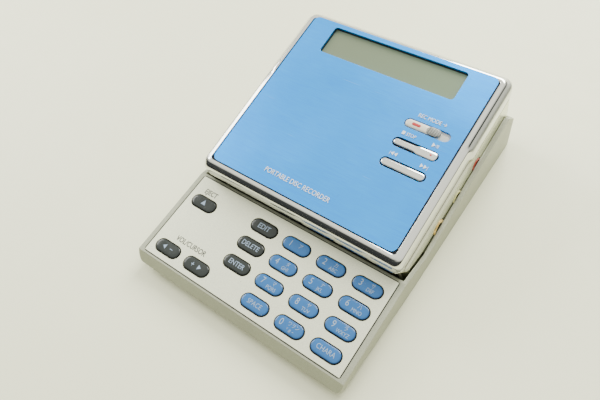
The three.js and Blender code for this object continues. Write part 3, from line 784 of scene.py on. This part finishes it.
def jack_profile(radius):
    """Rows of (radius, x): out along the barrel, over the collar, and back down the bore."""
    barrel = [(JACK_BARREL, JACK_BACK), (JACK_BARREL, JACK_X - COLLAR_DEPTH)]
    ring = [(radius, JACK_X - 0.78), (radius, JACK_X - 0.35), (radius - 0.08, JACK_X - 0.12),
            (radius - 0.22, JACK_X), (JACK_BORE + 0.15, JACK_X), (JACK_BORE + 0.03, JACK_X - 0.1),
            (JACK_BORE, JACK_X - 0.3)]
    bore = [(JACK_BORE, BORE_END), (NARROWEST, BORE_END - 0.1), (NARROWEST, JACK_BACK)]
    return barrel + ring + bore


def turned(name, y, z, profile):
    """A turned ring on a line along x at y, z: each (radius, x) of its closed profile goes round
    a circle about the line."""
    turn = np.linspace(0, 2 * math.pi, TURN_STEPS, endpoint=False)
    rows = [np.column_stack([np.full(TURN_STEPS, x), y + radius * np.cos(turn),
                             z + radius * np.sin(turn)]) for radius, x in profile]
    return skin(name, [np.stack(rows)], RECORDER, closed=True)


for name, y, radius, slot, color, bore_shade, metallic in JACKS:
    material = finish(f"jack_{slot}_collar", {"Metallic": metallic, "Coat Weight": 0.3},
                      collar(y, tint(*color), tint(*bore_shade)))
    jack = new_piece(f"jack_{name}_socket", turned(name, y, JACK_Z, jack_profile(radius)),
                     RECORDER, "base", material)
    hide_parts("jack_" + name)


# ------------------------------------------------------------------ disc drive
# Inside the tub: a stamped chassis with the spindle motor, the optical pickup on its rod and
# lead screw, the catch, and the sheet-steel holder that lifts with the lid and takes the disc.

def black_moulding(shade):
    """Black plastic with a fine spark-eroded texture."""
    cloud = shade.noise(4, 3)
    return {"Base Color": shade.mix(cloud, tint(26, 26, 28), tint(44, 44, 46)),
            "Roughness": 0.4 + cloud * 0.2, "Normal": shade.bump(shade.noise(0.3), 0.01)}


black_resin = finish("pickup_black_resin", {}, black_moulding)
for node in ("chassis_plate", "spindle_motor", "guide_rod", "sled_motor", "disc_holder",
             "record_head", "turntable", "lead_screw", "lid_catch"):
    keep(node, steel)
keep("optical_pickup", black_resin)


# ------------------------------------------------------------------ lid frame
# The lid is a chromed die casting: a bright bead round the plate, a steep side that mirrors
# the table, and on the back half of each side a broad satin cheek with a round front end.

LID_HALF = 39.0
LID_FRONT = 0.7
LID_BACK = 72.7
LID_CORNER = 3.6
CHEEK_START = 42.6
CHEEK_BLEND = 2.2
LID_TOP = 8.4
# Rows of (height, inset) up the outside: on the plain side, the satin cheek and the front. The
# three have the same number of rows, so that they can blend. A groove runs along the front.
SIDE_ROWS = [(2.2, 1.1), (2.3, 0.85), (2.6, 0.75), (2.66, 0.75), (2.95, 0.74), (3.0, 0.74),
             (3.6, 0.72), (4.8, 0.74), (6.0, 0.8), (6.9, 0.92), (7.35, 1.08), (7.6, 1.3),
             (7.75, 1.65), (7.95, 2.2), (8.15, 2.8), (8.3, 3.2), (8.32, 3.42)]
CHEEK_ROWS = [(2.2, 0.45), (2.3, 0.15), (2.6, 0.0), (2.66, 0.0), (2.95, 0.0), (3.0, 0.0),
              (3.8, 0.0), (5.2, 0.02), (6.1, 0.12), (6.45, 0.3), (7.0, 0.9), (7.45, 1.45),
              (7.65, 1.7), (8.1, 1.95), (8.3, 2.35), (8.38, 2.8), (8.38, 3.42)]
FRONT_ROWS = [(2.2, 0.45), (2.3, 0.15), (2.6, 0.0), (2.66, 0.6), (3.25, 0.6), (3.35, 0.0),
              (3.7, 0.0), (5.0, 0.05), (6.1, 0.22), (6.6, 0.5), (7.1, 0.95), (7.6, 1.6),
              (7.95, 2.05), (8.2, 2.4), (8.34, 2.75), (8.4, 3.1), (8.38, 3.42)]
INNER_ROWS = [(8.25, 3.5), (7.4, 3.5), (6.6, 3.5), (6.1, 2.2), (4.8, 1.25), (2.4, 1.2),
              (2.2, 1.0)]
SATIN_HEIGHTS = (5.5, 7.6)
INNER_MATTE = 0.5
FAR_INSET = 4.0
CORNER_SHRINK = 0.75
LID_CORNER_STEPS = 10
LID_SIDE_STEPS = 96


def lid_ring(inset):
    """The lid's outline drawn in by inset, with corners that shrink a little less than that."""
    radius = LID_CORNER - inset * CORNER_SHRINK
    return round_outline(LID_HALF - inset, LID_FRONT + inset, LID_BACK - inset, radius,
                         LID_CORNER_STEPS, LID_SIDE_STEPS)


def smooth(value, low, high):
    """From 0 at low to 1 at high, level at both ends: 3 t squared less 2 t cubed."""
    share = np.clip((value - low) / (high - low), 0, 1)
    return share * share * (3 - 2 * share)


def lid_rows():
    """Rows round the lid, and how matte each point is. At each point the outside row blends the
    side, cheek and front rows: the cheek by how far back the point is, the front by how far
    forward it is."""
    base = lid_ring(0)
    forward = 1 - smooth(base[:, 1], LID_FRONT, LID_FRONT + LID_CORNER)
    cheek = smooth(base[:, 1], CHEEK_START, CHEEK_START + CHEEK_BLEND)
    rows, matte = [], []
    for plain, broad, front in zip(SIDE_ROWS, CHEEK_ROWS, FRONT_ROWS):
        height, inset = [(1 - cheek - forward) * plain[part] + cheek * broad[part]
                         + forward * front[part] for part in (0, 1)]
        share = (inset / FAR_INSET)[:, None]
        rows.append(np.column_stack([base + (lid_ring(FAR_INSET) - base) * share, height]))
        matte.append(cheek * (SATIN_HEIGHTS[0] < broad[0] < SATIN_HEIGHTS[1]))
    for height, inset in INNER_ROWS:
        rows.append(np.column_stack([lid_ring(inset), np.full(len(base), height)]))
        matte.append(np.full(len(base), INNER_MATTE))
    return np.stack(rows), np.stack(matte)


ring_rows, ring_matte = lid_rows()
ring_mesh = skin("lid_ring", [ring_rows], RECORDER, closed=True)
matte_mask = ring_mesh.attributes.new("matte", "FLOAT", "POINT")
matte_mask.data.foreach_set("value", ring_matte.ravel())
lid_frame = new_piece("lid_chrome_frame", ring_mesh, RECORDER, "lid", chrome)
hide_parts("lid_frame")


# ------------------------------------------------------------------ control tray and hinge parts
# Under the plate a black tray closes the lid and carries the controls. Its black is painted shade
# for the slots round the controls and the gap round the plate. The lid hangs on two knuckles, and a
# tongue at the left drops into the tub for the catch to hold.

TRAY_BOTTOM = 6.6
TRAY_TOP = 7.3
TRAY_INSET = 3.3
TRAY_CORNER = 1.2
WINDOW_MARGIN = 1.5
SHEET_MERGE = 0.001
CONTROL_X = 23.6
CONTROL_Y = {"record": 44.3, "stop_play": 36.8, "skip": 29.1}
DISPLAY_HALF = 25.5
DISPLAY_Y = 62.65
DISPLAY_DEPTH = 11.3


def cut_sheet(name, outlines, bottom, top, where):
    """A flat sheet with holes: closed outlines filled as one plane curve, extruded to its
    thickness, made a mesh, and moved to its place."""
    curve = bpy.data.curves.new(name, "CURVE")
    curve.dimensions = "2D"
    curve.fill_mode = "BOTH"
    curve.extrude = (top - bottom) / 2
    for outline in outlines:
        spline = curve.splines.new("POLY")
        spline.points.add(len(outline) - 1)
        corners = np.column_stack([outline, np.zeros(len(outline)), np.ones(len(outline))])
        spline.points.foreach_set("co", corners.ravel())
        spline.use_cyclic_u = True
    drawn = bpy.data.objects.new(name, curve)
    bpy.context.scene.collection.objects.link(drawn)
    bpy.context.view_layer.update()
    mesh = bpy.data.meshes.new_from_object(
        drawn.evaluated_get(bpy.context.evaluated_depsgraph_get()))
    bpy.data.objects.remove(drawn)
    work = bmesh.new()
    work.from_mesh(mesh)
    bmesh.ops.remove_doubles(work, verts=work.verts, dist=SHEET_MERGE)
    bmesh.ops.recalc_face_normals(work, faces=work.faces)
    work.to_mesh(mesh)
    work.free()
    points = np.empty(len(mesh.vertices) * 3)
    mesh.vertices.foreach_get("co", points)
    points = points.reshape(-1, 3) + (0, 0, (top + bottom) / 2)
    mesh.vertices.foreach_set("co", put(points, where).ravel())
    mesh.name = name
    return mesh


window_outline = round_outline(DISPLAY_HALF + WINDOW_MARGIN,
                               DISPLAY_Y - DISPLAY_DEPTH / 2 - WINDOW_MARGIN,
                               DISPLAY_Y + DISPLAY_DEPTH / 2 + WINDOW_MARGIN, TRAY_CORNER)
tray_mesh = cut_sheet("control_tray_painted_shade", [lid_ring(TRAY_INSET), window_outline], TRAY_BOTTOM,
                      TRAY_TOP, RECORDER)
# Painted shade: the tray is black so that the slots and the gap round the plate read dark.
new_piece("control_tray_painted_shade", tray_mesh, RECORDER, "lid", black_resin)

HINGE_Y = 72.1
HINGE_Z = 0.5
KNUCKLE_RADIUS = 0.6
KNUCKLE_ROOT_Z = 2.8
KNUCKLE_STEPS = 13
KNUCKLES = [(-27.0, -21.5), (21.5, 27.0)]


def knuckle_rows(start, end):
    """A knuckle along x: a half circle below the hinge line and straight sides up to the lid."""
    turn = np.linspace(math.pi, 2 * math.pi, KNUCKLE_STEPS)
    eye = np.column_stack([HINGE_Y + KNUCKLE_RADIUS * np.cos(turn),
                           HINGE_Z + KNUCKLE_RADIUS * np.sin(turn)])
    root = [[HINGE_Y + KNUCKLE_RADIUS, KNUCKLE_ROOT_Z], [HINGE_Y - KNUCKLE_RADIUS, KNUCKLE_ROOT_Z]]
    outline = np.vstack([eye, root])
    return np.stack([np.column_stack([np.full(len(outline), x), outline])
                     for x in (start, end)])


knuckle_mesh = skin("knuckles", [knuckle_rows(*ends) for ends in KNUCKLES], RECORDER)
new_piece("lid_hinge_knuckles", knuckle_mesh, RECORDER, "lid", chrome)

TONGUE_MIDDLE = -37.475
TONGUE_HALF = 0.275
TONGUE_FRONT = 9.9
TONGUE_BACK = 13.9
TONGUE_CUT = 0.1
TONGUE_ROWS = [(TONGUE_CUT, -4.2), (0.0, -4.1), (0.0, 3.2)]


def tongue_outline(inset):
    """A flat bar's section drawn in by inset, with its corners just taken off."""
    ring = round_outline(TONGUE_HALF - inset, TONGUE_FRONT + inset, TONGUE_BACK - inset,
                         TONGUE_CUT)
    return ring + (TONGUE_MIDDLE, 0)


tongue_mesh = skin("tongue", [rows_of(tongue_outline, TONGUE_ROWS)], RECORDER)
new_piece("lid_catch_tongue", tongue_mesh, RECORDER, "lid", chrome)


# ------------------------------------------------------------------ blue plate and its words
# The top plate is 0.8 mm aluminium, brushed across, dyed blue and lacquered. Its cut edge is
# bare and bright. Generic words are raised on it by the front edge and over the controls.

GROOVE_PITCH = 0.62


def dyed_aluminium(shade):
    """Blue with fine brushing along x, shallow grooves at one pitch in y, clouds, specks and a
    few long scratches."""
    brush = shade.noise(0.12, 3, (0.02, 1, 1))
    line = shade.math("SINE", shade.local("Y") * (2 * math.pi / GROOVE_PITCH)) * 0.5 + 0.5
    cloud = shade.noise(30, 3)
    speck = shade.step(shade.noise(0.8, 2), 0.775, 0.8)
    scratch = shade.step(shade.noise(0.6, 1, (0.05, 1, 1)), 0.77, 0.8)
    blue = shade.mix(shade.step(brush, 0.25, 0.75), tint(6, 140, 252), tint(20, 160, 255))
    clouded = shade.mix(cloud * 0.3, blue, tint(44, 180, 255))
    marked = shade.mix(speck * 0.6, clouded, tint(30, 74, 140))
    scuffed = shade.mix(scratch * 0.15, marked, tint(190, 216, 240))
    roughness = shade.step(cloud, 0.3, 0.7, 0.26, 0.34) + brush * 0.06
    grooves = shade.bump(brush * 0.5 + line * 0.5, 0.006, 0.5)
    return {"Base Color": scuffed, "Roughness": roughness, "Normal": grooves}


def cut_aluminium(shade):
    """The milled edge, left bare: bright, evenly satin, with faint tool marks."""
    mark = shade.noise(0.4, 2)
    return {"Base Color": shade.mix(mark, tint(206, 216, 226), tint(232, 238, 242)),
            "Roughness": 0.34 + mark * 0.14}


plate_blue = finish("dyed_blue_aluminium", {"Metallic": 0.85, "Coat Weight": 0.1,
                                            "Coat Roughness": 0.12}, dyed_aluminium)
bare_edge = finish("bare_aluminium_edge", {"Metallic": 0.5}, cut_aluminium)
softened("lid_plate", RECORDER, "lid", [plate_blue, bare_edge], 0.24, edge_slot=1)


def raised_metal(shade):
    """Bright lacquered metal with a light haze."""
    haze = shade.noise(1.2, 3)
    return {"Base Color": shade.mix(haze, tint(214, 222, 228), tint(240, 244, 246)),
            "Roughness": 0.24 + haze * 0.2}


raised = finish("raised_word_metal", {"Metallic": 0.35}, raised_metal)
PLATE_WORDS = [("PORTABLE DISC RECORDER", 2.5, (-3.0, 9.6)), ("REC MODE →", 2.0, (23.6, 47.9)),
               ("■ STOP", 1.7, (19.5, 40.2)), ("▶/II", 1.7, (28.6, 40.2)),
               ("|◀◀", 1.6, (18.6, 32.4)), ("▶▶|", 1.6, (29.0, 32.4))]
WORD_HALF_HEIGHT = 0.1
for number, (words, size, spot) in enumerate(PLATE_WORDS):
    legend(f"plate_words_{number}", words, size, spot, lambda x, y: LID_TOP + WORD_HALF_HEIGHT,
           RECORDER, "lid", raised, stretch=0.8, thickness=WORD_HALF_HEIGHT)


# ------------------------------------------------------------------ display
# A grey-green reflective liquid crystal panel with a dark border, lying just over 1 mm below
# the face of the plate in the plate's window. Its module fills the lid behind it.

BORDER_WIDTH = 0.3
PAINTED_LIGHT_REACH = 25


def crystal(shade):
    """Grey-green, painted a little lighter to the right as painted light, with a border where a
    point is nearer the edge than BORDER_WIDTH."""
    # Painted light: the cell's colour grows lighter towards +x.
    across = shade.step(shade.local("X"), -PAINTED_LIGHT_REACH, PAINTED_LIGHT_REACH)
    cloud = shade.noise(12, 2)
    edge_x = shade.math("ABSOLUTE", shade.local("X")) - (DISPLAY_HALF - BORDER_WIDTH)
    half_depth = DISPLAY_DEPTH / 2 - BORDER_WIDTH
    edge_y = shade.math("ABSOLUTE", shade.local("Y") - DISPLAY_Y) - half_depth
    border = shade.step(shade.math("MAXIMUM", edge_x, edge_y), -0.12, 0.05)
    cell = shade.mix(across * 0.7 + cloud * 0.3, tint(108, 118, 96), tint(114, 130, 106))
    framed = shade.mix(border, cell, tint(40, 46, 48))
    return {"Base Color": framed, "Roughness": 0.3 + shade.noise(2) * 0.1}


crystal_cell = finish("liquid_crystal", {"Specular IOR Level": 0.3}, crystal)
softened("display_window", RECORDER, "lid", crystal_cell, 0.1)
keep("display_module", crystal_cell)


# ------------------------------------------------------------------ record slide and rockers
# Three small moulded controls in slots of the plate: a cream slide with a red mark and a ribbed
# grip, and two chromed rockers, the upper one narrow at stop and broad at play.

# Rows of (inset, height), from the slot up the side and over the top.
KNOB_PROFILE = [(0.25, 7.7), (0.0, 7.85), (0.0, 8.3), (0.06, 8.45), (0.2, 8.58), (0.45, 8.68),
                (0.8, 8.74), (1.2, 8.77)]


def worn_cream(shade):
    """Cream plastic, a little darker in patches where fingers rub it."""
    cloud = shade.noise(2, 3)
    return {"Base Color": shade.mix(cloud, tint(226, 224, 212), tint(206, 204, 190)),
            "Roughness": 0.28 + cloud * 0.2}


def grip_grey(shade):
    """Grey metallic paint, uneven from wear."""
    cloud = shade.noise(1, 3)
    return {"Base Color": shade.mix(cloud, tint(120, 122, 120), tint(150, 152, 148)),
            "Roughness": 0.3 + cloud * 0.2}


def red_print(shade):
    """Red print, deeper in patches."""
    cloud = shade.noise(0.8, 3)
    return {"Base Color": shade.mix(cloud, tint(196, 40, 36), tint(160, 30, 30)),
            "Roughness": 0.35 + cloud * 0.2}


cream = finish("knob_cream_moulding", {"Coat Weight": 0.3}, worn_cream)
grip = finish("knob_grip_grey", {"Metallic": 0.5}, grip_grey)
red = finish("record_red", {"Coat Weight": 0.3}, red_print)

SLIDE_X = 22.15
SLIDE_LENGTH = 12.0
SLIDE_WIDTH = 2.8
MARK_X = 19.9
GRIP_X = 25.8
RIB_COUNT = 5
RIB_START = 24.1
RIB_PITCH = 0.8
RIB_HALF = 0.2
RIB_REACH = 1.1
RIB_CORNER = 0.15
record_y = CONTROL_Y["record"]


def bar_rows(x, y, length, width, profile):
    """Rows of a round-ended bar, length by width, about x, y."""
    return rows_of(lambda inset: slot_outline(x, y, length, width, inset), profile)


def rib_rows(x):
    """Rows of one rib across the slide's grip."""
    def outline(inset):
        ring = round_outline(RIB_HALF - inset, record_y - RIB_REACH + inset,
                             record_y + RIB_REACH - inset, RIB_CORNER - inset)
        return ring + (x, 0)
    return rows_of(outline, [(0.0, 8.6), (0.0, 8.95), (0.1, 9.03)])


body_rows = bar_rows(SLIDE_X, record_y, SLIDE_LENGTH, SLIDE_WIDTH, KNOB_PROFILE)
slide = new_piece("record_slide_body", skin("slide", [body_rows], RECORDER), RECORDER,
                  "record_slide", cream)
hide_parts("record_slide")

mark_rows = bar_rows(MARK_X, record_y, 3.0, 1.0, [(0.0, 8.7), (0.0, 8.79), (0.04, 8.81)])
new_piece("record_slide_mark", skin("mark", [mark_rows], RECORDER), RECORDER, "record_slide",
          red)

grip_profile = [(0.0, 8.2), (0.0, 8.7), (0.08, 8.8), (0.25, 8.84)]
grip_stacks = [bar_rows(GRIP_X, record_y, 4.7, 2.86, grip_profile)]
grip_stacks += [rib_rows(RIB_START + number * RIB_PITCH) for number in range(RIB_COUNT)]
new_piece("record_slide_grip", skin("grip", grip_stacks, RECORDER), RECORDER, "record_slide",
          grip)

ROCKER_LENGTH = 14.8
ROCKER_SIDE_STEPS = 40
WIDENS_FROM = CONTROL_X - 0.6
WIDENS_TO = CONTROL_X + 1.4


def rocker_outline(y, narrow, broad):
    """A round-ended bar whose width grows smoothly from narrow to broad about its middle."""
    def outline(inset):
        ring = slot_outline(CONTROL_X, 0.0, ROCKER_LENGTH, narrow, inset, ROCKER_SIDE_STEPS)
        widen = 1 + (broad / narrow - 1) * smooth(ring[:, 0], WIDENS_FROM, WIDENS_TO)
        return np.column_stack([ring[:, 0], y + ring[:, 1] * widen])
    return outline


for name, narrow, broad in (("stop_play", 2.1, 3.0), ("skip", 2.5, 2.6)):
    rows = rows_of(rocker_outline(CONTROL_Y[name], narrow, broad), KNOB_PROFILE[:-1])
    rocker = new_piece(f"{name}_rocker_cap", skin(name, [rows], RECORDER), RECORDER,
                       f"{name}_rocker", chrome)
    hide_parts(f"{name}_rocker")

DOT_X = 28.9
dot_rows = bar_rows(DOT_X, CONTROL_Y["stop_play"], 0.71, 0.7,
                    [(0.0, 8.6), (0.0, 8.74), (0.05, 8.77)])
new_piece("play_dot", skin("dot", [dot_rows], RECORDER), RECORDER, "stop_play_rocker",
          red)

LINER_LENGTH = 15.5
LINER_WIDTH = 3.4
liner_profile = [(0.0, TRAY_TOP - 0.05), (0.0, TRAY_TOP + 0.25), (0.05, TRAY_TOP + 0.3)]
liner_rows = bar_rows(CONTROL_X, record_y, LINER_LENGTH, LINER_WIDTH, liner_profile)
new_piece("record_slot_liner", skin("liner", [liner_rows], RECORDER), RECORDER, "lid",
          cream)
